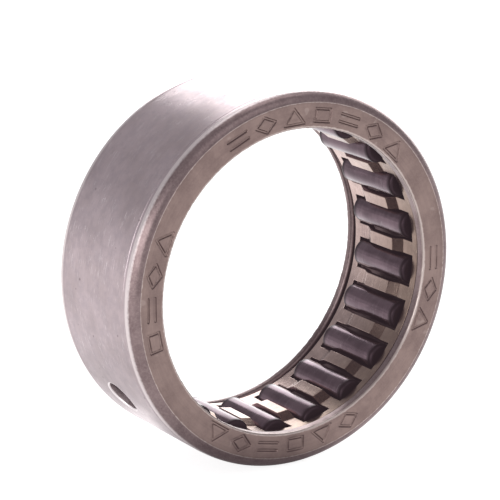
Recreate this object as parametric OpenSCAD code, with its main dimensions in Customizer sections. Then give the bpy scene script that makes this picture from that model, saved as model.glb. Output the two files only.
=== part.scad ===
// Drawn-cup needle roller bearing, caged, open at both ends, with an oil hole.
//
// Frame: the bearing's axis is Y, +Z is up and the origin is the middle of the bearing.
// The stamped front face looks along -Y. All sizes are in millimetres.

/* [Bearing] */
// Outside diameter of the cup, pressed into the housing
outer_d = 32; // [31.9:0.01:32.1]
// Width of the cup from end face to end face
width = 12; // [11.8:0.1:14]

/* [Cup] */
// Thickness of the drawn steel around the raceway
wall = 0.97; // [0.8:0.01:1.05]
// Thickness of the turned-in lip at each end
lip = 0.85; // [0.8:0.05:0.85]
// Diameter of the opening in the front lip
front_lip_d = 25.94; // [25.4:0.02:26.4]
// Diameter of the opening in the rear lip
rear_lip_d = 27; // [26:0.1:28]
// Radius of the cup's two outer corners
corner_r = 0.85; // [0.5:0.05:1]
// Radius of the fillets between the raceway and the lips
inner_fillet_r = 0.3; // [0.1:0.05:0.4]
// Radius on the outer edge of the front lip's opening
front_lip_edge_r = 0.17; // [0.05:0.01:0.3]
// Radius on both edges of the rear lip's opening
rear_lip_edge_r = 0.4; // [0.1:0.05:0.4]

/* [Oil hole] */
// Diameter of the oil hole through the cup's wall
oil_hole_d = 3; // [1.5:0.1:3.2]
// Distance of the oil hole behind the middle of the cup
oil_hole_y = 0.9; // [0:0.1:1]
// Direction of the oil hole about the bearing's axis, measured from +X towards +Z
oil_hole_angle = -143.7; // [-180:0.1:180]
// Chamfer around the oil hole's outer edge
oil_hole_chamfer = 0.2; // [0.05:0.05:0.3]

/* [Rollers] */
// Number of needle rollers
roller_count = 21; // [21]
// Diameter of a roller
roller_d = 2.5; // [2.4:0.01:2.5]
// Length of a roller
roller_l = 7.3; // [7:0.1:7.3]
// Radius on the edges of a roller's end faces
roller_edge_r = 0.3; // [0.1:0.05:0.5]
// Running gap between a roller and the raceway
roller_gap = 0.015; // [0.01:0.005:0.03]
// Direction of the first roller about the bearing's axis
first_roller_angle = 10.2; // [0:0.1:17]

/* [Cage] */
// Thickness of the cage's sheet steel
sheet = 0.5; // [0.4:0.05:0.55]
// Length of the cage along the bearing's axis
cage_l = 9; // [8.6:0.1:9.6]
// Inside diameter of the cage's two rims
rim_inner_d = 26.5; // [26.2:0.1:27]
// Inside diameter across the pads in the middle of the bars
pad_inner_d = 25.5; // [25.4:0.1:25.8]
// Length of a pad
pad_l = 3.1; // [2.4:0.1:3.4]
// Length of each slope between a pad and a rim
slope_l = 1; // [0.8:0.05:1.4]
// Width of a roller pocket
pocket_w = 2.7; // [2.6:0.02:2.7]
// Length of a roller pocket
pocket_l = 7.6; // [7.5:0.05:7.8]
// Distance by which the cage lies towards the front of the cup
cage_shift = 0.28; // [0:0.01:0.3]
// Distance by which the rollers lie towards the rear of their pockets
roller_shift = 0.08; // [0:0.01:0.1]

/* [Stamped marks] */
// Radius of the circle that the marks lie on
mark_circle_r = 14.05; // [13.9:0.05:14.2]
// Height of a mark along the radius
mark_h = 1.3; // [1:0.1:1.4]
// Width of a mark along the circle
mark_w = 1.9; // [1.2:0.1:2.2]
// Width of a stamped line
mark_line = 0.16; // [0.1:0.01:0.2]
// Depth of a stamped line
mark_depth = 0.08; // [0.04:0.01:0.12]
// Angle between neighbouring marks
mark_step = 11.4; // [10:0.1:12]

/* [Hidden] */
$fn = 96;
cut = 1;                                     // how far a cutter runs past what it cuts
outer_r = outer_d / 2;
raceway_r = outer_r - wall;
front_lip_r = front_lip_d / 2;
rear_lip_r = rear_lip_d / 2;
oil_hole_r = oil_hole_d / 2;
roller_r = roller_d / 2;
pitch_r = raceway_r - roller_gap - roller_r;
pitch_step = 360 / roller_count;
rim_r = rim_inner_d / 2;
pad_r = pad_inner_d / 2;
slope_angle = atan((rim_r - pad_r) / slope_l);
bend_shift = sheet * tan(slope_angle / 2);    // how far a bend moves from one skin to the other

// Each group of marks: the direction of its first mark, and how many follow at mark_step
MARK_GROUPS = [[46, 7], [157, 4], [-125, 6], [-23, 3]];
// The marks, each a list of lines in a square from -1 to 1: triangle, diamond, two bars, box
MARKS = [
    closed_lines([[-1, -1], [1, -1], [0, 1]]),
    closed_lines([[-1, 0], [0, 1], [1, 0], [0, -1]]),
    [[[-1, -0.5], [1, -0.5]], [[-1, 0.5], [1, 0.5]]],
    closed_lines([[-0.8, -0.8], [0.8, -0.8], [0.8, 0.8], [-0.8, 0.8]])
];

// The front half of the cage's bent sheet, as [radius, distance from its middle], inner skin last
CAGE_HALF = [
    [pad_r + sheet, pad_l / 2 - bend_shift],
    [rim_r + sheet, pad_l / 2 + slope_l - bend_shift],
    [rim_r + sheet, cage_l / 2],
    [rim_r, cage_l / 2],
    [rim_r, pad_l / 2 + slope_l],
    [pad_r, pad_l / 2]
];

function roller_name(i) = str("roller_", i < 10 ? "0" : "", i);
function closed_lines(points) =
    [for (i = [0 : len(points) - 1]) [points[i], points[(i + 1) % len(points)]]];
function mirrored(points) =
    [for (i = [len(points) - 1 : -1 : 0]) [points[i][0], -points[i][1]]];
function on_face(point) = [point[0] * mark_w / 2, point[1] * mark_h / 2];

// ---- shared helpers ----

// Turns local +Z, the direction a section is spun about, into the bearing's front, -Y
module along_bearing() {
    rotate([90, 0, 0]) children();
}

// Moves its children, made about the bearing's axis, to the direction `angle` about it
module at_angle(angle) {
    rotate([0, 0, angle]) children();
}

// The sliver between a corner at the origin and the quarter circle of radius r inside it
module corner_sliver(r, margin = 0) {
    difference() {
        translate([-margin, -margin]) square(r + margin);
        translate([r, r]) circle(r);
    }
}

// ---- cup ----

// Half a cross-section of the cup before its corners are rounded: x is the radius
module cup_blank_section() {
    translate([raceway_r, -width / 2]) square([wall, width]);
    translate([front_lip_r, width / 2 - lip]) square([outer_r - front_lip_r, lip]);
    translate([rear_lip_r, -width / 2]) square([outer_r - rear_lip_r, lip]);
    translate([raceway_r, width / 2 - lip]) rotate(180) corner_sliver(inner_fillet_r);
    translate([raceway_r, lip - width / 2]) rotate(90) corner_sliver(inner_fillet_r);
}

module cup_section() {
    difference() {
        cup_blank_section();
        translate([outer_r, width / 2]) rotate(180) corner_sliver(corner_r, cut);
        translate([outer_r, -width / 2]) rotate(90) corner_sliver(corner_r, cut);
        translate([front_lip_r, width / 2]) rotate(-90) corner_sliver(front_lip_edge_r, cut / 2);
        translate([rear_lip_r, -width / 2]) corner_sliver(rear_lip_edge_r, cut / 2);
        translate([rear_lip_r, lip - width / 2]) rotate(-90) corner_sliver(rear_lip_edge_r, cut / 2);
    }
}

// The oil hole's drill, pointing outwards along local +X
module oil_hole_drill() {
    translate([0, 0, -oil_hole_y]) rotate([0, 90, 0]) {
        translate([0, 0, raceway_r - cut]) cylinder(r = oil_hole_r, h = wall + 2 * cut);
        translate([0, 0, outer_r - oil_hole_chamfer])
            cylinder(r1 = oil_hole_r, r2 = oil_hole_r + 2 * oil_hole_chamfer, h = 2 * oil_hole_chamfer);
    }
}

// One straight stamped line from p to q, half its width longer at both ends
module stamped_line(p, q) {
    run = norm(q - p);
    translate(p) rotate(atan2(q[1] - p[1], q[0] - p[0]))
        translate([-mark_line / 2, -mark_line / 2]) square([run + mark_line, mark_line]);
}

// One mark, a list of lines, pressed into the front face
module stamped_mark(lines) {
    translate([0, 0, width / 2 - mark_depth])
        linear_extrude(mark_depth + cut)
            for (line = lines) stamped_line(on_face(line[0]), on_face(line[1]));
}

module stamped_marks() {
    for (group = MARK_GROUPS, i = [0 : group[1] - 1])
        at_angle(group[0] + i * mark_step - 90)
            translate([0, mark_circle_r, 0])
                stamped_mark(MARKS[i % len(MARKS)]);
}

module cup() {
    color("darkgray") along_bearing() difference() {
        rotate_extrude() cup_section();
        at_angle(oil_hole_angle) oil_hole_drill();
        stamped_marks();
    }
}

// ---- cage ----

// The bent sheet's section: x is the radius
module cage_section() {
    polygon(concat(CAGE_HALF, mirrored(CAGE_HALF)));
}

// One pocket's punch, pointing outwards along local +X
module pocket_punch() {
    translate([pad_r - cut, -pocket_w / 2, -pocket_l / 2])
        cube([rim_r + sheet - pad_r + 2 * cut, pocket_w, pocket_l]);
}

module cage() {
    color("wheat") along_bearing() translate([0, 0, cage_shift]) difference() {
        rotate_extrude() cage_section();
        for (i = [0 : roller_count - 1])
            at_angle(first_roller_angle + i * pitch_step) pocket_punch();
    }
}

// ---- rollers ----

// Half a roller's section, from its axis to its skin, with rounded end edges
module roller_section() {
    difference() {
        translate([0, -roller_l / 2]) square([roller_r, roller_l]);
        translate([roller_r, roller_l / 2]) rotate(180) corner_sliver(roller_edge_r, cut / 2);
        translate([roller_r, -roller_l / 2]) rotate(90) corner_sliver(roller_edge_r, cut / 2);
    }
}

// Roller number i, counted from 1, lying in its pocket
module roller(i) {
    color("slategray") along_bearing()
        at_angle(first_roller_angle + (i - 1) * pitch_step)
            translate([pitch_r, 0, cage_shift - roller_shift])
                rotate_extrude() roller_section();
}

cup();
cage();
for (i = [1 : roller_count])
    roller(i);
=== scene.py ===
"""The looks of a caged needle roller bearing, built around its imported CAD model.

Outlines are worked out in millimetres and turned into metres when a mesh is made. The bearing's
axis is Y, its stamped front face looks along -Y, and angles about the axis run from +X towards +Z.
"""

import math

import bmesh
import bpy
import numpy as np
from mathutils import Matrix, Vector
from mathutils.geometry import delaunay_2d_cdt


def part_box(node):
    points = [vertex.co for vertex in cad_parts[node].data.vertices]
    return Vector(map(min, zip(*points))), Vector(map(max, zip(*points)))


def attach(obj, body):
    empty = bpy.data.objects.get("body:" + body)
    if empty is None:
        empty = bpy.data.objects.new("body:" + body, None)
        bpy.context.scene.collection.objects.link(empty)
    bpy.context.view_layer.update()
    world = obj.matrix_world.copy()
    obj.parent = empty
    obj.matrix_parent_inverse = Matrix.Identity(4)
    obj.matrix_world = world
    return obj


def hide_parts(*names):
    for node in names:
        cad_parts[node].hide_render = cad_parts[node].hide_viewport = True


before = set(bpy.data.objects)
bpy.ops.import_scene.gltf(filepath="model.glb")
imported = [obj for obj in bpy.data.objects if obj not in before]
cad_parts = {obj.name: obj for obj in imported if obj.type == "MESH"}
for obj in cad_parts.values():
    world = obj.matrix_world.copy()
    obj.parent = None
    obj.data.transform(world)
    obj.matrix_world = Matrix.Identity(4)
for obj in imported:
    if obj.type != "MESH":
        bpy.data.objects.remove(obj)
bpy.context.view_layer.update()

MM = 0.001
WELD = 0.0005                    # mm; vertices closer than this become one

# ---- sizes, in millimetres and degrees ----

FACE_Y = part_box("cup")[1].y / MM   # the end faces' distance from the middle
OUTER_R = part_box("cup")[1].x / MM
ROLLER_Y = sum(corner.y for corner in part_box("roller_01")) / 2 / MM
COLUMNS = 360                    # steps around the cup
WALL = 0.97
LIP = 0.85
FRONT_LIP_R = 12.97
REAR_LIP_R = 13.5
CORNER_R = 1.03
CORNER_TURN = 80                 # degrees of arc before the corner meets the end face at a crease
FILLET_R = 0.3
FRONT_LIP_EDGES = (0.17, 0.1)    # edge radii on the outer and inner side of the lip
REAR_LIP_EDGES = (0.41, 0.41)
LIP_STEPS = 6                    # steps around a lip's rounded edge
EDGE_WEAR = 0.012                # how uneven the lips' edges are

HOLE_ANGLE = -143.7
HOLE_Y = 0.9
HOLE_R = 1.54
HOLE_EDGE_R = 0.16
HOLE_BACK_R = 0.08
PATCH_CELLS = 16                 # cells along each side of the square around the oil hole
PATCH_STEP = 0.3                 # length of one of them along the axis

SHEET = 0.5
PAD_R = 12.75
PAD_HALF = 1.55
SLOPE = 1.0
SHEET_EDGE_R = 0.06
POCKET_W = 2.7
POCKET_L = 7.6
ROLLER_COUNT = 21
ROLLER_EDGE_R = 0.31
ROLLER_DOME = 0.03               # how far a roller's end bulges

MARK_GROUPS = [(46, 7), (157, 4), (-125, 6), (-23, 3)]   # first angle, number of marks
MARK_STEP = 11.4
MARK_CIRCLE_R = 14.05
MARK_W = 1.9
MARK_H = 1.3
GROOVE_DEPTH = 0.12
GROOVE_FLOOR = 0.05              # half the width of a groove's flat bottom
GROOVE_HALF_W = 0.145
GROOVE_OFFSETS = np.array([0, 0.05, 0.075, 0.095, 0.115, 0.135, 0.17, 0.24])
GROOVE_ROUND = [-60, -30, 0, 30, 60]   # degrees; the fan of points around a groove's end
GROOVE_STEP = 0.09               # between the points along a groove
GROOVE_GRID = 0.02               # the points beside grooves snap to a grid this fine
GROOVE_CLEAR = 0.29              # from a groove to the first of the face's coarser points
FACE_RINGS = 8                   # rings of coarser points on the front face
FACE_MARGIN = 0.06               # from the face's edges to the first point beside a groove

LAND_W = 0.33                    # the unground strip beside each corner
LAND_INSET = 0.012               # how far it lies below the outside
LAND_GROOVE = (0.04, 0.09)       # where the finer groove along it is deepest, and where it ends
CORNER_CENTRE_R = OUTER_R - LAND_INSET - CORNER_R
CREASE_R = CORNER_CENTRE_R + CORNER_R * math.cos(math.radians(CORNER_TURN))
PAINTED_SHADE_AND_LIGHT_Y = (-4.6, 3.5)        # where the cage's painted shade is deepest (front) and its painted light strongest (rear), along the axis


# ---- shapes as plain arrays ----

def arc(centre, radius, start, end, steps):
    """Points on an arc in the (radius, y) plane, at angles from +radius towards +y."""
    angles = np.radians(np.linspace(start, end, steps + 1))
    return [(centre[0] + radius * math.cos(a), centre[1] + radius * math.sin(a)) for a in angles]


def turned(radius, y, angle):
    """The point at this radius, place along the axis and angle in radians about it."""
    return np.stack([radius * np.cos(angle), y + 0 * angle, radius * np.sin(angle)], -1)


class Shell:
    """Vertices in millimetres and faces with a material number, gathered piece by piece."""

    def __init__(self):
        self.points = []
        self.faces = []
        self.zones = []

    def add(self, points, faces, zone):
        start = len(self.points)
        self.points.extend(np.asarray(points, float).reshape(-1, 3))
        for face in faces:
            self.faces.append([start + corner for corner in face])
            self.zones.append(zone)

    def band(self, rows, zone, skip=None):
        """Rows of points, each closed on itself, joined by quads; skip(row, column) leaves gaps."""
        rows = [np.asarray(row) for row in rows]
        count = len(rows[0])
        faces = []
        for i in range(len(rows) - 1):
            for j in range(count):
                if skip and skip(i, j):
                    continue
                k = (j + 1) % count
                faces.append([i * count + j, i * count + k, (i + 1) * count + k, (i + 1) * count + j])
        self.add(np.concatenate(rows), faces, zone)

    def lathe(self, outline, angles, zone, skip=None, centre=(0, 0)):
        """A band that turns an outline of (radius, y) points about the axis or one beside it."""
        offset = np.array([centre[0], 0, centre[1]])
        rows = [turned(radius, y, angles) + offset for radius, y in outline]
        self.band(rows, zone, skip)

    def build(self, name, materials, sharp=35):
        """Makes the Blender object, welded and with its faces turned outwards."""
        mesh = bpy.data.meshes.new(name)
        mesh.from_pydata([tuple(p * MM) for p in self.points], [], self.faces)
        mesh.polygons.foreach_set("material_index", self.zones)
        work = bmesh.new()
        work.from_mesh(mesh)
        bmesh.ops.remove_doubles(work, verts=work.verts, dist=WELD * MM)
        bmesh.ops.recalc_face_normals(work, faces=work.faces)
        work.to_mesh(mesh)
        work.free()
        for material in materials:
            mesh.materials.append(material)
        mesh.shade_smooth()
        mesh.set_sharp_from_angle(angle=math.radians(sharp))
        piece = bpy.data.objects.new(name, mesh)
        bpy.context.scene.collection.objects.link(piece)
        return piece


# ---- material building ----

class Shader:
    """One node material. Its coordinates and bump heights are in millimetres."""

    def __init__(self, name):
        self.material = bpy.data.materials.new(name)
        self.material.use_nodes = True
        self.tree = self.material.node_tree
        self.surface = self.tree.nodes["Principled BSDF"]
        place = self.tree.nodes.new("ShaderNodeTexCoord").outputs["Object"]
        self.place = self.scaled(place, (1 / MM, 1 / MM, 1 / MM))
        parts = self.node("ShaderNodeSeparateXYZ", Vector=self.place)
        self.x = parts.outputs["X"]
        self.y = parts.outputs["Y"]
        self.z = parts.outputs["Z"]
        self.radius = self.math("SQRT", self.math("ADD", self.math("MULTIPLY", self.x, self.x),
                                                  self.math("MULTIPLY", self.z, self.z)))

    def feed(self, socket, value):
        if isinstance(value, bpy.types.NodeSocket):
            self.tree.links.new(value, socket)
        else:
            socket.default_value = value

    def node(self, kind, settings=None, **inputs):
        made = self.tree.nodes.new(kind)
        for key, value in (settings or {}).items():
            setattr(made, key, value)
        for key, value in inputs.items():
            self.feed(made.inputs[key], value)
        return made

    def math(self, operation, a, b=0.0):
        made = self.node("ShaderNodeMath", {"operation": operation})
        self.feed(made.inputs[0], a)
        self.feed(made.inputs[1], b)
        return made.outputs[0]

    def scaled(self, vector, factors, turn=(0, 0, 0)):
        made = self.node("ShaderNodeMapping", Vector=vector, Scale=factors,
                         Rotation=[math.radians(angle) for angle in turn])
        return made.outputs[0]

    def remap(self, value, low, high, to_low=0.0, to_high=1.0):
        made = self.node("ShaderNodeMapRange", {"interpolation_type": "SMOOTHSTEP"})
        for key, entry in zip(("Value", "From Min", "From Max", "To Min", "To Max"),
                              (value, low, high, to_low, to_high)):
            self.feed(made.inputs[key], entry)
        return made.outputs[0]

    def noise(self, vector, scale=1.0, detail=3.0, rough=0.55):
        made = self.node("ShaderNodeTexNoise", Vector=vector, Scale=scale, Detail=detail,
                         Roughness=rough)
        return made.outputs[0]

    def mix(self, factor, a, b, blend="MIX"):
        made = self.node("ShaderNodeMix", {"data_type": "RGBA", "blend_type": blend})
        self.feed(made.inputs[0], factor)
        self.feed(made.inputs[6], a)
        self.feed(made.inputs[7], b)
        return made.outputs[2]

    def total(self, *terms):
        """The sum of value * weight over (value, weight) pairs."""
        out = 0.0
        for value, weight in terms:
            out = self.math("ADD", out, self.math("MULTIPLY", value, weight))
        return out

    def streaks(self, along, density):
        """Fine lines that run around the axis, packed along one direction."""
        vector = self.node("ShaderNodeCombineXYZ", X=self.math("MULTIPLY", self.x, 0.12),
                           Y=self.math("MULTIPLY", self.z, 0.12),
                           Z=self.math("MULTIPLY", along, density)).outputs[0]
        return self.noise(vector, 1.0, 4.0, 0.65)

    def scratches(self, turn, amount):
        """Sparse short thin scratches, lying along one slanted direction."""
        lines = self.noise(self.scaled(self.place, (0.9, 18.0, 0.9), turn), 1.0, 1.0, 0.4)
        where = self.noise(self.scaled(self.place, (0.8, 0.8, 0.8), turn), 1.0, 1.0, 0.4)
        line = self.remap(lines, 0.70 - amount, 0.75 - amount)
        return self.math("MULTIPLY", line, self.remap(where, 0.50, 0.60))

    def pits(self, density):
        """Scattered small specks."""
        cells = self.node("ShaderNodeTexVoronoi", Vector=self.place, Scale=density)
        size = self.math("MULTIPLY", cells.outputs["Color"], 0.16)
        return self.remap(self.math("SUBTRACT", size, cells.outputs["Distance"]), 0.0, 0.05)

    def finish(self, colour, roughness, height, metallic=1.0):
        self.feed(self.surface.inputs["Base Color"], colour)
        self.feed(self.surface.inputs["Roughness"], roughness)
        self.surface.inputs["Metallic"].default_value = metallic
        bump = self.node("ShaderNodeBump", Height=height, Distance=MM, Strength=1.0)
        self.feed(self.surface.inputs["Normal"], bump.outputs[0])
        return self.material


def rgb(red, green, blue):
    return (red, green, blue, 1.0)


def cup_outside_material():
    """The drawn and ground outside: soft lines around it, faint stains, handling scratches."""
    s = Shader("cup_outside")
    lines = s.streaks(s.y, 7.0)
    broad = s.streaks(s.y, 1.1)
    stain = s.noise(s.place, 0.22, 4.0, 0.6)
    cloud = s.noise(s.place, 1.1, 6.0, 0.75)
    grain = s.noise(s.place, 8.0, 2.0, 0.6)
    scratch = s.math("ADD", s.scratches((20, 0, 35), 0.03), s.scratches((-35, 10, -50), 0.04))
    pit = s.pits(0.9)
    colour = s.mix(s.remap(stain, 0.35, 0.68), rgb(0.52, 0.425, 0.447), rgb(0.41, 0.332, 0.342))
    colour = s.mix(s.remap(cloud, 0.42, 0.62, 0.0, 0.42), colour, rgb(0.35, 0.295, 0.325))
    colour = s.mix(s.remap(lines, 0.3, 0.7, 0.0, 0.16), colour, rgb(0.33, 0.265, 0.277))
    colour = s.mix(s.remap(broad, 0.4, 0.7, 0.0, 0.12), colour, rgb(0.60, 0.50, 0.52))
    colour = s.mix(s.math("MULTIPLY", scratch, 0.6), colour, rgb(0.82, 0.75, 0.76))
    colour = s.mix(s.math("MULTIPLY", pit, 0.6), colour, rgb(0.13, 0.095, 0.10))
    rough = s.total((lines, 0.05), (stain, 0.10), (cloud, 0.16), (grain, 0.06), (scratch, -0.06))
    rough = s.math("ADD", rough, 0.14)
    height = s.total((lines, 0.0011), (grain, 0.0010), (stain, 0.004), (scratch, -0.0024),
                     (pit, -0.004))
    return s.finish(colour, rough, height)


def cup_face_material():
    """The tumbled end faces: brownish, matt and finely grained, rubbed bright along the bore's edge,
    with a painted highlight along the outer crease and painted shade on the stamped grooves' walls.
    """
    s = Shader("cup_face")
    lines = s.streaks(s.radius, 5.0)
    stain = s.noise(s.place, 0.45, 4.0, 0.65)
    grain = s.noise(s.place, 6.5, 3.0, 0.7)
    scratch = s.math("ADD", s.scratches((60, 25, 10), 0.0), s.scratches((-20, 60, 70), 0.01))
    pit = s.pits(1.3)
    colour = s.mix(s.remap(stain, 0.33, 0.68), rgb(0.285, 0.207, 0.186), rgb(0.21, 0.149, 0.136))
    colour = s.mix(s.remap(grain, 0.35, 0.7, 0.0, 0.30), colour, rgb(0.33, 0.245, 0.22))
    colour = s.mix(s.remap(lines, 0.4, 0.7, 0.0, 0.2), colour, rgb(0.15, 0.105, 0.097))
    colour = s.mix(s.math("MULTIPLY", scratch, 0.25), colour, rgb(0.50, 0.41, 0.38))
    colour = s.mix(s.math("MULTIPLY", pit, 0.5), colour, rgb(0.09, 0.06, 0.055))
    ragged = s.total((s.noise(s.place, 3.0, 3.0, 0.7), 0.22), (s.radius, 1.0))
    bore_edge = s.remap(ragged, FRONT_LIP_R + 0.22, FRONT_LIP_R + 0.34, 1.0, 0.0)
    # painted highlight: a thin light line along the crease where the face turns into the corner
    painted_crease_highlight = s.remap(ragged, CREASE_R + 0.033, CREASE_R + 0.103)
    sunk = s.remap(s.math("ABSOLUTE", s.y), FACE_Y - GROOVE_DEPTH, FACE_Y, 1.0, 0.0)
    # painted shade: the stamped grooves' walls darkened, most strongly halfway down
    painted_groove_shade = s.math("MULTIPLY", s.math("MULTIPLY", sunk, s.math("SUBTRACT", 1.0, sunk)), 4.0)
    colour = s.mix(s.math("MULTIPLY", painted_groove_shade, 0.65), colour, rgb(0.075, 0.048, 0.044))
    # joins the bore edge's rubbed wear with the crease's painted highlight
    edge = s.math("MAXIMUM", bore_edge, painted_crease_highlight)
    colour = s.mix(s.math("MULTIPLY", edge, 0.7), colour, rgb(0.62, 0.53, 0.50))
    rough = s.total((stain, 0.14), (grain, 0.10), (lines, 0.06), (edge, -0.10))
    rough = s.math("ADD", rough, 0.27)
    height = s.total((grain, 0.0022), (lines, 0.0012), (stain, 0.005), (scratch, -0.002),
                     (pit, -0.004))
    return s.finish(colour, rough, height)


def cup_corner_material():
    """The drawn corners and the lips' bores: darker and coarser than the faces, never ground; painted
    shade darkens the lips' bores and a painted highlight brightens the worn edge next to the outside.
    """
    s = Shader("cup_corner")
    lines = s.streaks(s.y, 4.0)
    stain = s.noise(s.place, 0.5, 4.0, 0.65)
    grain = s.noise(s.place, 5.0, 4.0, 0.75)
    pit = s.pits(1.8)
    colour = s.mix(s.remap(stain, 0.33, 0.68), rgb(0.225, 0.165, 0.165), rgb(0.165, 0.118, 0.119))
    colour = s.mix(s.remap(grain, 0.40, 0.66, 0.0, 0.40), colour, rgb(0.34, 0.265, 0.255))
    colour = s.mix(s.math("MULTIPLY", pit, 0.6), colour, rgb(0.07, 0.05, 0.048))
    # painted shade: darker towards the lips' bores, inside a radius of 14.8 mm
    painted_lip_shade = s.remap(s.radius, 14.2, 14.8, 0.92, 1.0)
    colour = s.mix(1.0, colour, painted_lip_shade, "MULTIPLY")
    ragged = s.total((grain, 0.10), (s.radius, 1.0))
    # rubbed wear along the edge next to the outside, lightened further as a painted highlight line
    rubbed_wear_and_highlight = s.remap(ragged, OUTER_R - 0.10, OUTER_R + 0.01)
    colour = s.mix(s.math("MULTIPLY", rubbed_wear_and_highlight, 0.85), colour, rgb(0.80, 0.71, 0.71))
    rough = s.math("ADD", s.total((stain, 0.12), (grain, 0.14), (lines, 0.05)), 0.18)
    height = s.total((grain, 0.004), (lines, 0.0015), (stain, 0.005), (pit, -0.005))
    return s.finish(colour, rough, height)


def cup_inside_material():
    """The hardened inside, honed along the raceway, coloured much darker than the outside as painted
    shade for the bearing's dim interior.
    """
    s = Shader("cup_inside_painted_shade")
    lines = s.streaks(s.y, 9.0)
    stain = s.noise(s.place, 0.4, 3.0, 0.6)
    grain = s.noise(s.place, 7.0, 2.0, 0.6)
    # painted shade: the inside's base colours are kept far darker than the outside's
    colour = s.mix(s.remap(stain, 0.35, 0.68), rgb(0.17, 0.122, 0.122), rgb(0.11, 0.078, 0.079))
    colour = s.mix(s.remap(lines, 0.35, 0.7, 0.0, 0.25), colour, rgb(0.24, 0.18, 0.175))
    rough = s.math("ADD", s.total((lines, 0.12), (stain, 0.12)), 0.25)
    height = s.total((lines, 0.0014), (grain, 0.0012))
    return s.finish(colour, rough, height)


def oil_hole_material():
    """The punched wall of the oil hole: pale and torn along its depth, with a painted highlight around
    its rim.
    """
    s = Shader("oil_hole_wall")
    tears = s.noise(s.scaled(s.place, (2.5, 6.0, 2.5)), 1.0, 3.0, 0.6)
    grain = s.noise(s.place, 7.0, 3.0, 0.65)
    colour = s.mix(s.remap(tears, 0.35, 0.65), rgb(0.60, 0.51, 0.52), rgb(0.42, 0.35, 0.35))
    colour = s.mix(s.remap(grain, 0.45, 0.7, 0.0, 0.4), colour, rgb(0.25, 0.19, 0.19))
    # painted highlight: a bright band around the hole's rim
    rim = s.remap(s.radius, OUTER_R - 0.20, OUTER_R - 0.10)
    colour = s.mix(s.math("MULTIPLY", rim, 0.9), colour, rgb(0.92, 0.85, 0.86))
    rough = s.math("ADD", s.total((tears, 0.15), (grain, 0.1)), 0.28)
    height = s.total((tears, 0.006), (grain, 0.003))
    return s.finish(colour, rough, height)


def cage_material():
    """Bent sheet steel with a warm oily film, darkened towards its front rim by painted shade and
    lightened towards its rear by painted light.
    """
    s = Shader("cage_sheet")
    lines = s.streaks(s.y, 5.0)
    stain = s.noise(s.place, 0.6, 4.0, 0.65)
    grain = s.noise(s.place, 6.0, 3.0, 0.65)
    scratch = s.math("ADD", s.scratches((15, 40, 20), 0.01), s.scratches((-50, 5, 65), 0.02))
    colour = s.mix(s.remap(stain, 0.33, 0.68), rgb(0.385, 0.288, 0.252), rgb(0.28, 0.206, 0.182))
    colour = s.mix(s.remap(grain, 0.4, 0.7, 0.0, 0.25), colour, rgb(0.47, 0.37, 0.325))
    colour = s.mix(s.remap(lines, 0.45, 0.7, 0.0, 0.2), colour, rgb(0.19, 0.138, 0.134))
    colour = s.mix(s.math("MULTIPLY", scratch, 0.4), colour, rgb(0.70, 0.61, 0.56))
    # painted shade towards the front rim and painted light towards the rear, along the axis
    painted_front_shade_rear_light = s.mix(s.remap(s.y, *PAINTED_SHADE_AND_LIGHT_Y), rgb(0.68, 0.65, 0.60), rgb(1.2, 1.19, 1.24))
    colour = s.mix(1.0, colour, painted_front_shade_rear_light, "MULTIPLY")
    rough = s.math("ADD", s.total((stain, 0.12), (grain, 0.07), (lines, 0.05)), 0.12)
    height = s.total((grain, 0.0012), (lines, 0.0008), (stain, 0.004), (scratch, -0.001))
    return s.finish(colour, rough, height)


def roller_material():
    """Ground and tempered rollers: dark, bluish and polished, with a thin smeared oil film and painted
    shade at their ends.
    """
    s = Shader("roller_steel")
    lines = s.streaks(s.y, 6.0)
    smear = s.noise(s.scaled(s.place, (0.9, 0.35, 0.9)), 1.0, 4.0, 0.6)
    grain = s.noise(s.place, 9.0, 2.0, 0.6)
    scratch = s.scratches((70, 20, 5), 0.02)
    colour = s.mix(s.remap(smear, 0.35, 0.66), rgb(0.142, 0.098, 0.116), rgb(0.084, 0.057, 0.069))
    colour = s.mix(s.remap(lines, 0.45, 0.7, 0.0, 0.25), colour, rgb(0.21, 0.155, 0.175))
    colour = s.mix(s.math("MULTIPLY", scratch, 0.35), colour, rgb(0.48, 0.42, 0.44))
    # painted shade: the rollers' ends darkened to near black
    end = s.remap(s.math("ABSOLUTE", s.math("SUBTRACT", s.y, ROLLER_Y)), 2.9, 3.35)
    colour = s.mix(s.math("MULTIPLY", end, 0.92), colour, rgb(0.020, 0.013, 0.016))
    rough = s.math("ADD", s.total((smear, 0.11), (lines, 0.06), (grain, 0.03), (end, 0.2)), 0.10)
    height = s.total((lines, 0.0007), (grain, 0.0004), (smear, 0.002))
    return s.finish(colour, rough, height)


# ---- cup ----

OUTSIDE, FACE, CORNER, INSIDE, HOLE = 0, 1, 2, 3, 4


def hole_loop():
    """The square of grid points around the oil hole: degrees about the axis, mm along it."""
    t = np.linspace(-1, 1, PATCH_CELLS + 1)[:-1]
    one = np.ones(PATCH_CELLS)
    across = np.concatenate([t, one, -t, -one])
    along = np.concatenate([-one, t, one, -t])
    return across * PATCH_CELLS / 2 * 360 / COLUMNS, along * PATCH_CELLS / 2 * PATCH_STEP


def hole_ring(across, along, surface_r):
    """Points beside the hole's axis by these distances in mm, on a cylinder about the bearing."""
    angle = math.radians(HOLE_ANGLE) + np.arcsin(across / surface_r)
    return np.stack([surface_r * np.cos(angle), HOLE_Y + along, surface_r * np.sin(angle)], -1)


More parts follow.
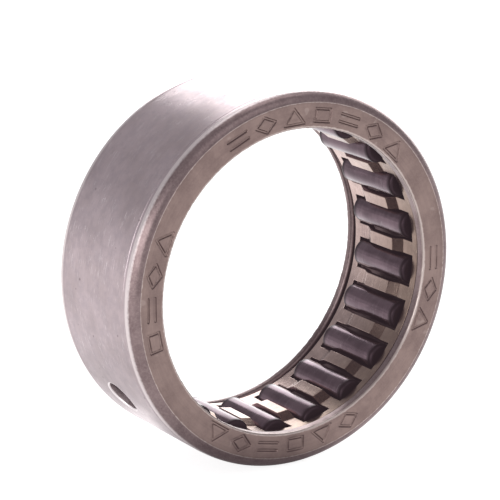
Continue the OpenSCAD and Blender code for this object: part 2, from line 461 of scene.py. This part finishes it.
def add_oil_hole(shell, outer_r, raceway_r):
    """Blends the square gap in each skin into a round hole with rounded edges."""
    degrees, along = hole_loop()
    for surface_r, circle_r, zone in ((outer_r, HOLE_R + HOLE_EDGE_R, OUTSIDE),
                                      (raceway_r, HOLE_R + HOLE_BACK_R, INSIDE)):
        across = surface_r * np.sin(np.radians(degrees))
        direction = np.arctan2(along, across)
        round_across = circle_r * np.cos(direction)
        round_along = circle_r * np.sin(direction)
        rows = [hole_ring(across + share * (round_across - across),
                          along + share * (round_along - along), surface_r)
                for share in (0, 0.4, 0.7, 0.9, 1)]
        shell.band(rows, zone)
    outer_direction = np.arctan2(along, outer_r * np.sin(np.radians(degrees)))
    inner_direction = np.arctan2(along, raceway_r * np.sin(np.radians(degrees)))
    sides = []                   # (circle radius, depth below the outside)
    for radius, depth in arc((HOLE_R + HOLE_EDGE_R, 0), HOLE_EDGE_R, 90, 180, 6):
        sides.append((radius, HOLE_EDGE_R - depth))
    for radius, depth in arc((HOLE_R + HOLE_BACK_R, 0), HOLE_BACK_R, 180, 90, 3):
        sides.append((radius, outer_r - raceway_r - HOLE_BACK_R + depth))
    rows = []
    for radius, depth in sides:
        share = depth / (outer_r - raceway_r)
        direction = outer_direction + share * (inner_direction - outer_direction)
        rows.append(hole_ring(radius * np.cos(direction), radius * np.sin(direction),
                              outer_r - depth))
    shell.band(rows, HOLE)


def closed_lines(points):
    return [(points[i], points[(i + 1) % len(points)]) for i in range(len(points))]


MARKS = [
    closed_lines([(-1, -1), (1, -1), (0, 1)]),
    closed_lines([(-1, 0), (0, 1), (1, 0), (0, -1)]),
    [((-1, -0.5), (1, -0.5)), ((-1, 0.5), (1, 0.5))],
    closed_lines([(-0.8, -0.8), (0.8, -0.8), (0.8, 0.8), (-0.8, 0.8)]),
]


def mark_strokes():
    """Both ends of every stamped line, as (x, z) points in mm."""
    strokes = []
    for first, count in MARK_GROUPS:
        for i in range(count):
            angle = math.radians(first + i * MARK_STEP)
            outward = np.array([math.cos(angle), math.sin(angle)])
            sideways = np.array([math.sin(angle), -math.cos(angle)])
            for line in MARKS[i % len(MARKS)]:
                strokes.append([outward * (MARK_CIRCLE_R + y * MARK_H / 2) + sideways * x * MARK_W / 2
                                for x, y in line])
    return np.array(strokes)


def stroke_distance(points, strokes):
    """How far each point is from the nearest stamped line."""
    nearest = np.full(len(points), 1e9)
    for start, end in strokes:
        run = end - start
        share = np.clip((points - start) @ run / (run @ run), 0, 1)
        nearest = np.minimum(nearest, np.linalg.norm(points - start - share[:, None] * run, axis=1))
    return nearest


def groove_points(strokes):
    """Points packed closely along and beside every stamped line."""
    found = []
    for start, end in strokes:
        run = end - start
        length = np.linalg.norm(run)
        forward = run / length
        side = np.array([-forward[1], forward[0]])
        for step in np.linspace(0, length, max(2, round(length / GROOVE_STEP))):
            for offset in GROOVE_OFFSETS:
                found.append(start + forward * step + side * offset)
                found.append(start + forward * step - side * offset)
        for end_point, facing in ((start, -forward), (end, forward)):
            for turn in np.radians(GROOVE_ROUND):
                direction = facing * math.cos(turn) + side * math.sin(turn)
                for offset in GROOVE_OFFSETS[1:]:
                    found.append(end_point + offset * direction)
    return np.array(found)


def ring_points(radius, angles):
    """Points on a circle in the end face, as (x, z)."""
    return np.stack([radius * np.cos(angles), radius * np.sin(angles)], -1)


def add_front_face(shell, inner_r, outer_r, face_y, angles):
    """The flat front face with the marks pressed into it."""
    strokes = mark_strokes()
    edges = [ring_points(radius, angles) for radius in (inner_r, outer_r)]
    half_step = math.radians(180 / COLUMNS)
    radii = np.linspace(inner_r, outer_r, FACE_RINGS + 2)[1:-1]
    coarse = np.concatenate([ring_points(radius, angles + half_step * (i % 2))
                             for i, radius in enumerate(radii)])
    coarse = coarse[stroke_distance(coarse, strokes) > GROOVE_CLEAR]
    fine = np.unique(np.round(groove_points(strokes) / GROOVE_GRID), axis=0) * GROOVE_GRID
    reach = np.linalg.norm(fine, axis=1)
    fine = fine[(reach > inner_r + FACE_MARGIN) & (reach < outer_r - FACE_MARGIN)]
    points = np.concatenate(edges + [coarse, fine])
    placed, _, triangles, _, _, _ = delaunay_2d_cdt([Vector(p) for p in points], [], [], 0, 1e-6)
    placed = np.array([tuple(p) for p in placed])
    on_bore = np.linalg.norm(placed, axis=1) < inner_r + 0.001
    faces = [t for t in triangles if not all(on_bore[corner] for corner in t)]
    away = stroke_distance(placed, strokes)
    share = np.clip((GROOVE_HALF_W - away) / (GROOVE_HALF_W - GROOVE_FLOOR), 0, 1)
    depth = GROOVE_DEPTH * share * share * (3 - 2 * share)
    shell.add(np.stack([placed[:, 0], face_y + depth, placed[:, 1]], -1), faces, FACE)


def make_cup():
    raceway_r = OUTER_R - WALL
    angles = np.radians(HOLE_ANGLE + np.arange(COLUMNS) * 360 / COLUMNS - 180)
    half_patch = PATCH_CELLS // 2
    patch_columns = range(COLUMNS // 2 - half_patch, COLUMNS // 2 + half_patch)
    patch_rows = [HOLE_Y + i * PATCH_STEP for i in range(-half_patch, half_patch + 1)]
    corner_y = FACE_Y - CORNER_R * math.sin(math.radians(CORNER_TURN))
    fillet_r = raceway_r - FILLET_R
    fillet_y = FACE_Y - LIP - FILLET_R

    shell = Shell()
    ground_y = corner_y - LAND_W
    outside_rows = [-ground_y, *patch_rows, ground_y]
    raceway_rows = [-fillet_y, *patch_rows, fillet_y]

    def in_patch(i, j):
        return 1 <= i <= PATCH_CELLS and j in patch_columns

    shell.lathe([(OUTER_R, y) for y in outside_rows], angles, OUTSIDE, in_patch)
    shell.lathe([(raceway_r, y) for y in raceway_rows], angles, INSIDE, in_patch)
    add_oil_hole(shell, OUTER_R, raceway_r)

    random = np.random.default_rng(5)
    for side, lip_r, lip_edges, lip_zone in ((-1, FRONT_LIP_R, FRONT_LIP_EDGES, FACE),
                                             (1, REAR_LIP_R, REAR_LIP_EDGES, CORNER)):
        end = side * FACE_Y
        outer_edge_r, back_edge_r = lip_edges
        deepest, groove_end = LAND_GROOVE
        land = [(OUTER_R, side * ground_y),
                (OUTER_R - 2 * LAND_INSET, side * (ground_y + deepest)),
                (OUTER_R - LAND_INSET, side * (ground_y + groove_end)),
                (OUTER_R - LAND_INSET, side * corner_y)]
        shell.lathe(land, angles, OUTSIDE)
        corner = arc((CORNER_CENTRE_R, side * corner_y), CORNER_R, 0, side * CORNER_TURN, 12)
        shell.lathe(corner, angles, CORNER)
        edge = arc((lip_r + outer_edge_r, end - side * outer_edge_r), outer_edge_r,
                   side * 90, side * 180, LIP_STEPS)
        wear = random.normal(0, EDGE_WEAR, COLUMNS)
        worn = [(radius + wear * math.sin(math.pi * i / LIP_STEPS), y)
                for i, (radius, y) in enumerate(edge)]
        shell.lathe(worn, angles, lip_zone)
        back_y = end - side * LIP
        back = arc((lip_r + back_edge_r, back_y + side * back_edge_r), back_edge_r,
                   side * 180, side * 270, LIP_STEPS)
        shell.lathe([edge[-1], *back], angles, CORNER)
        fillet = arc((fillet_r, back_y - side * FILLET_R), FILLET_R, side * 90, 0, 4)
        shell.lathe([back[-1], *fillet], angles, INSIDE)
        if side > 0:
            shell.lathe([corner[-1], edge[0]], angles, FACE)
    add_front_face(shell, FRONT_LIP_R + FRONT_LIP_EDGES[0], CREASE_R, -FACE_Y, angles)

    materials = [cup_outside_material(), cup_face_material(), cup_corner_material(),
                 cup_inside_material(), oil_hole_material()]
    cup = shell.build("cup_steel_shell", materials, 30)
    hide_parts("cup")
    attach(cup, "cup")
    return cup


# ---- cage ----

def cage_midline(rim_r, half_length):
    """The middle of the bent sheet, from its rear end to its front end, as (radius, y) points."""
    pad = PAD_R + SHEET / 2
    rim = rim_r + SHEET / 2
    bend_y = PAD_HALF - SHEET / 2 * math.tan(math.atan2(rim - pad, SLOPE) / 2)
    pocket_end = POCKET_L / 2
    half = [(pad, 0), (pad, bend_y), (rim, bend_y + SLOPE), (rim, pocket_end),
            (rim, (pocket_end + half_length) / 2), (rim, half_length)]
    return np.array([(r, -y) for r, y in half[:0:-1]] + half)


def sheet_normals(line):
    """At each point of a line, the direction across it, halfway between its neighbours'."""
    steps = np.diff(line, axis=0)
    steps /= np.linalg.norm(steps, axis=1)[:, None]
    along = np.concatenate([steps[:1], steps[:-1] + steps[1:], steps[-1:]])
    along /= np.linalg.norm(along, axis=1)[:, None]
    return np.stack([along[:, 1], -along[:, 0]], -1)


def make_cage():
    low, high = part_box("cage")
    centre_y = (low.y + high.y) / 2 / MM
    half_length = (high.y - low.y) / 2 / MM
    rim_r = high.z / MM - SHEET
    line = cage_midline(rim_r, half_length)
    outward = sheet_normals(line)
    skins = [line - outward * SHEET / 2, line + outward * SHEET / 2]

    first = roller_angle(1)
    pitch = 2 * math.pi / ROLLER_COUNT
    in_pocket = list(np.linspace(-1, 1, 7)[:-1])
    in_bar = list(np.linspace(-1, 1, 6)[:-1])
    per_pitch = len(in_pocket) + len(in_bar)
    columns = per_pitch * ROLLER_COUNT

    def column_angles(radius):
        """The angles of all columns where the sheet has this radius."""
        pocket_half = math.asin(POCKET_W / 2 / radius)
        bar_half = pitch / 2 - pocket_half
        found = []
        for k in range(ROLLER_COUNT):
            found += [first + k * pitch + pocket_half * share for share in in_pocket]
            found += [first + (k + 0.5) * pitch + bar_half * share for share in in_bar]
        return np.array(found)

    rows = len(line)
    points = np.concatenate([turned(r, centre_y + y, column_angles(r))
                             for skin in skins for r, y in skin])

    def solid(i, j):
        """Whether there is sheet in the cell after row i and column j."""
        if not 0 <= i < rows - 1:
            return False
        middle = abs(line[i][1] + line[i + 1][1]) / 2
        return middle > POCKET_L / 2 or (j % per_pitch) >= len(in_pocket)

    def corner(skin, i, j):
        return (skin * rows + i) * columns + j % columns

    faces = []
    for i in range(rows):
        for j in range(columns):
            if solid(i, j):
                for skin in (0, 1):
                    faces.append([corner(skin, i, j), corner(skin, i, j + 1),
                                  corner(skin, i + 1, j + 1), corner(skin, i + 1, j)])
            if solid(i, j) != solid(i - 1, j):
                faces.append([corner(0, i, j), corner(0, i, j + 1),
                              corner(1, i, j + 1), corner(1, i, j)])
            if i < rows - 1 and solid(i, j) != solid(i, j - 1):
                faces.append([corner(0, i, j), corner(0, i + 1, j),
                              corner(1, i + 1, j), corner(1, i, j)])
    shell = Shell()
    used = sorted({c for face in faces for c in face})
    number = {c: n for n, c in enumerate(used)}
    shell.add(points[used], [[number[c] for c in face] for face in faces], 0)
    cage = shell.build("cage_sheet", [cage_material()], 40)
    bevel = cage.modifiers.new("edges", "BEVEL")
    bevel.width = SHEET_EDGE_R * MM
    bevel.segments = 2
    bevel.limit_method = "ANGLE"
    bevel.angle_limit = math.radians(20)
    bevel.harden_normals = True
    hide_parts("cage")
    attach(cage, "cage")
    return cage


# ---- rollers ----

def roller_name(i):
    return f"roller_{i:02d}"


def roller_angle(i):
    low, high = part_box(roller_name(i))
    return math.atan2(low.z + high.z, low.x + high.x)


def make_roller(i, material):
    low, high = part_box(roller_name(i))
    middle = (low + high) / 2 / MM
    radius = (high.z - low.z) / 2 / MM
    half = (high.y - low.y) / 2 / MM
    end = half - ROLLER_DOME
    corner = radius - ROLLER_EDGE_R
    dome = [(corner * share, end + ROLLER_DOME * (1 - share ** 2)) for share in (0.02, 0.35, 0.7)]
    front_half = dome + arc((corner, end - ROLLER_EDGE_R), ROLLER_EDGE_R, 90, 0, 6) + [(radius, 1.2)]
    outline = front_half + [(r, -y) for r, y in reversed(front_half)]
    angles = np.radians(np.arange(64) * 360 / 64)
    shell = Shell()
    shell.lathe([(r, y + middle.y) for r, y in outline], angles, 0, centre=(middle.x, middle.z))
    for first in (0, len(shell.points) - len(angles)):
        shell.faces.append(list(range(first, first + len(angles))))
        shell.zones.append(0)
    roller = shell.build(f"needle_{i:02d}", [material], 40)
    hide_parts(roller_name(i))
    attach(roller, roller_name(i))
    return roller


# ---- studio ----

FLOOR_HALF = 1500.0              # mm
GLOW_CENTRE = (14.0, 30.0)       # mm; the light table is brightest behind the bearing
GLOW_REACH = 38.0
GLOW_PEAK = 1.4
GLOW_EDGE = 0.75
FLOOR_SPOTS = [                  # (x, y) in mm, then where it starts and stops fading, then the factor
    ((-4.0, -6.0), 3.0, 14.0, 0.1),      # the bearing's own shade, below its front
    ((-8.5, 7.0), 1.0, 4.0, 1.9),        # light thrown down by the bright outside
    ((-17.0, 13.0), 0.0, 15.0, 0.72),    # the weak shade behind its left side
]
PAPER_GLOW = 0.85                # what the camera sees of the floor's own light


def distance_from(s, centre):
    """The distance in mm from a point on the floor."""
    across = s.math("SUBTRACT", s.x, centre[0])
    along = s.math("SUBTRACT", s.y, centre[1])
    return s.math("SQRT", s.total((s.math("MULTIPLY", across, across), 1.0),
                                  (s.math("MULTIPLY", along, along), 1.0)))


def make_floor():
    low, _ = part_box("cup")
    shell = Shell()
    corners = [(x * FLOOR_HALF, y * FLOOR_HALF, low.z / MM)
               for x, y in ((-1, -1), (1, -1), (1, 1), (-1, 1))]
    shell.add(corners, [[0, 1, 2, 3]], 0)
    s = Shader("floor_paper")
    tint = s.mix(s.noise(s.place, 0.02, 3.0, 0.5), rgb(0.40, 0.40, 0.40), rgb(0.38, 0.38, 0.38))
    glow = s.remap(distance_from(s, GLOW_CENTRE), 0.0, GLOW_REACH, GLOW_PEAK, GLOW_EDGE)
    for centre, near, far, factor in FLOOR_SPOTS:
        spot = s.remap(distance_from(s, centre), near, far, factor, 1.0)
        glow = s.math("MULTIPLY", glow, spot)
    seen = s.node("ShaderNodeLightPath").outputs["Is Camera Ray"]
    strength = s.math("ADD", glow, s.math("MULTIPLY", seen, s.math("SUBTRACT", PAPER_GLOW, glow)))
    s.surface.inputs["Emission Color"].default_value = rgb(1.0, 0.995, 0.995)
    s.feed(s.surface.inputs["Emission Strength"], strength)
    material = s.finish(tint, 0.85, s.math("MULTIPLY", s.noise(s.place, 2.0), 0.002), 0.0)
    floor = shell.build("floor", [material])


def make_world():
    world = bpy.data.worlds.new("studio")
    bpy.context.scene.world = world
    world.use_nodes = True
    nodes = world.node_tree.nodes
    links = world.node_tree.links
    room = nodes["Background"]
    room.inputs["Color"].default_value = rgb(0.97, 0.97, 1.0)
    room.inputs["Strength"].default_value = 0.5
    paper = nodes.new("ShaderNodeBackground")
    paper.inputs["Color"].default_value = rgb(1, 1, 1)
    paper.inputs["Strength"].default_value = 1.0
    rays = nodes.new("ShaderNodeLightPath")
    choose = nodes.new("ShaderNodeMixShader")
    links.new(rays.outputs["Is Camera Ray"], choose.inputs[0])
    links.new(room.outputs[0], choose.inputs[1])
    links.new(paper.outputs[0], choose.inputs[2])
    links.new(choose.outputs[0], nodes["World Output"].inputs[0])


def make_light(name, azimuth, elevation, distance, width, height, glow):
    """A soft rectangular light that looks at the bearing. Azimuth runs from +Y towards +X."""
    data = bpy.data.lights.new(name, "AREA")
    data.shape = "RECTANGLE"
    data.size = width
    data.size_y = height
    data.energy = glow * math.pi * width * height
    light = bpy.data.objects.new(name, data)
    across, up = math.radians(azimuth), math.radians(elevation)
    light.location = distance * Vector((math.sin(across) * math.cos(up),
                                        math.cos(across) * math.cos(up), math.sin(up)))
    light.rotation_euler = light.location.to_track_quat("Z", "Y").to_euler()
    light.visible_camera = False
    bpy.context.scene.collection.objects.link(light)


def make_lights():
    make_light("back_panel", 47.6, 16, 0.7, 0.80, 0.62, 3.2)
    make_light("left_back_strip", -38, 7, 0.7, 0.55, 0.22, 0.3)
    make_light("top_box", 60, 72, 0.7, 0.6, 0.4, 1.4)
    make_light("left_box", -110, 12, 0.8, 1.1, 0.5, 2.4)
    make_light("front_fill", 165, 35, 0.9, 0.6, 0.5, 0.7)


CAMERA_AZIMUTH = 33.7            # degrees from the bearing's front towards its -X side
CAMERA_ELEVATION = 16.25
CAMERA_DISTANCE = 0.20388
CAMERA_LENS = 174.01
CAMERA_SHIFT = (-0.01518, 0.0323)
STRAY_LIGHT = (-0.022, -0.014, -0.017)   # black level of red, green and blue


def make_camera():
    data = bpy.data.cameras.new("camera")
    data.lens = CAMERA_LENS
    data.sensor_width = 36
    data.shift_x, data.shift_y = CAMERA_SHIFT
    data.clip_start = 0.01
    camera = bpy.data.objects.new("camera", data)
    across, up = math.radians(CAMERA_AZIMUTH), math.radians(CAMERA_ELEVATION)
    camera.location = CAMERA_DISTANCE * Vector((-math.sin(across) * math.cos(up),
                                                -math.cos(across) * math.cos(up), math.sin(up)))
    camera.rotation_euler = camera.location.to_track_quat("Z", "Y").to_euler()
    bpy.context.scene.collection.objects.link(camera)
    bpy.context.scene.camera = camera


def set_view():
    """Plain colours, with the darkest tones lifted a little as by a lens's stray light."""
    view = bpy.context.scene.view_settings
    view.view_transform = "Standard"
    view.use_curve_mapping = True
    view.curve_mapping.black_level = STRAY_LIGHT
    view.curve_mapping.update()


make_cup()
make_cage()
needle_material = roller_material()
for number in range(1, ROLLER_COUNT + 1):
    make_roller(number, needle_material)
make_floor()
make_world()
make_lights()
make_camera()
set_view()
